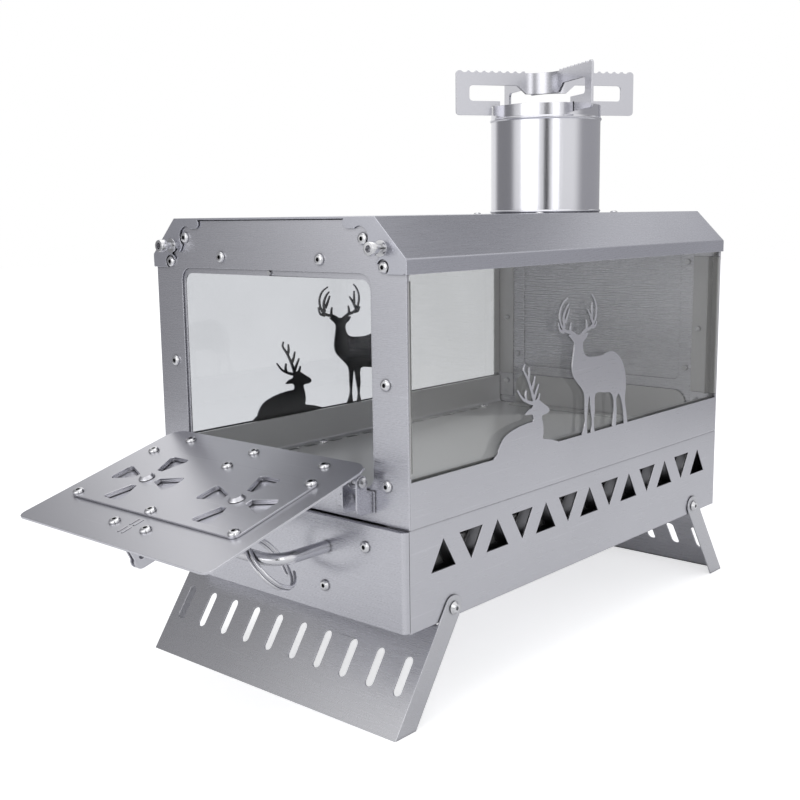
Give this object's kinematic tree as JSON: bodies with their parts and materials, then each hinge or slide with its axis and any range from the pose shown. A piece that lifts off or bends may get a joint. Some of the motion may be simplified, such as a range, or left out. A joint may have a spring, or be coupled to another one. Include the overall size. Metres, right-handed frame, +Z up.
{
  "type": "tent wood stove",
  "caption": "Sheet steel tent wood stove with glass sides, stag silhouettes, drop-down door, ash drawer, folding legs and a flue collar carrying a lift-off pot stand.",
  "frame": {"origin": "on the floor, under the middle of the part's box at rest with the door open and the legs spread", "axes": "+X across, towards the side shown in the picture; +Y from the door to the rear; +Z up"},
  "size_m": [0.2424, 0.5512, 0.4278],
  "materials": {
    "sheet_steel": "satin brushed",
    "bright_steel": "fine satin",
    "inner_steel": "satin",
    "polished_steel": "polished",
    "side_glass": "clear, faintly grey-green"
  },
  "bodies": {
    "stove": {"base_pan": "sheet_steel", "base_rear_panel": "inner_steel", "vent_liner_left": "inner_steel", "vent_liner_right": "inner_steel", "bed_plate": "inner_steel", "fire_plate": "inner_steel", "bed_screws": "polished_steel", "rear_baffle": "inner_steel", "side_rail_left": "sheet_steel", "side_rail_right": "sheet_steel", "glass_left": "side_glass", "glass_right": "side_glass", "top_rail_left": "sheet_steel", "top_rail_right": "sheet_steel", "front_frame": "bright_steel", "seal_frame": "bright_steel", "rear_frame": "bright_steel", "rear_panel": "bright_steel", "corner_posts_front": "inner_steel", "corner_posts_rear": "inner_steel", "frame_screws_front": "polished_steel", "frame_screws_rear": "polished_steel", "roof_bolts_front": "polished_steel", "roof_bolts_rear": "polished_steel", "door_catch": "polished_steel", "hinge_bracket_left": "bright_steel", "hinge_bracket_right": "bright_steel", "hinge_bracket_screws": "polished_steel", "hinge_pins": "polished_steel", "leg_pivots": "polished_steel", "roof_sheet": "sheet_steel", "flue_collar": "bright_steel", "collar_rivets": "polished_steel"},
    "pot_stand": {"pot_stand_front": "sheet_steel", "pot_stand_rear": "sheet_steel"},
    "door": {"door_plate": "bright_steel", "door_baffle": "bright_steel", "door_hinge_strip": "bright_steel", "door_screws": "polished_steel", "door_handle_left": "bright_steel", "door_handle_right": "bright_steel"},
    "air_vent_left": {"air_disc_left": "bright_steel", "air_knob_left": "polished_steel"},
    "air_vent_right": {"air_disc_right": "bright_steel", "air_knob_right": "polished_steel"},
    "drawer": {"drawer_front": "sheet_steel", "drawer_tray": "sheet_steel", "drawer_handle": "polished_steel", "drawer_screws": "polished_steel", "handle_nuts": "polished_steel"},
    "ring": {"pull_ring": "polished_steel"},
    "leg_front": {"front_leg": "sheet_steel"},
    "leg_rear": {"rear_leg": "sheet_steel"}
  },
  "joints": [
    {"name": "pot_stand_lift", "type": "slide", "parent": "stove", "child": "pot_stand", "axis": [0, 0, 1], "range_m": [0, 0.12]},
    {"name": "door_hinge", "type": "hinge", "parent": "stove", "child": "door", "pos_m": [0, -0.152, 0.1545], "axis": [-1, 0, 0], "range_deg": [0, 105.7]},
    {"name": "air_disc_left_turn", "type": "hinge", "parent": "door", "child": "air_vent_left", "pos_m": [-0.0438, -0.21123, 0.14793], "axis": [0, -0.2706, 0.9627], "range_deg": [0, 45]},
    {"name": "air_disc_right_turn", "type": "hinge", "parent": "door", "child": "air_vent_right", "pos_m": [0.0438, -0.21123, 0.14793], "axis": [0, -0.2706, 0.9627], "range_deg": [0, 45]},
    {"name": "drawer_slide", "type": "slide", "parent": "stove", "child": "drawer", "axis": [0, -1, 0], "range_m": [0, 0.036]},
    {"name": "ring_swing", "type": "hinge", "parent": "drawer", "child": "ring", "pos_m": [0.033, -0.1898, 0.107], "axis": [1, 0, 0], "range_deg": [-130, 30]},
    {"name": "front_leg_fold", "type": "hinge", "parent": "stove", "child": "leg_front", "pos_m": [0, -0.1015, 0.069], "axis": [1, 0, 0], "range_deg": [0, 122]},
    {"name": "rear_leg_fold", "type": "hinge", "parent": "stove", "child": "leg_rear", "pos_m": [0, 0.2185, 0.069], "axis": [-1, 0, 0], "range_deg": [0, 122]}
  ]
}
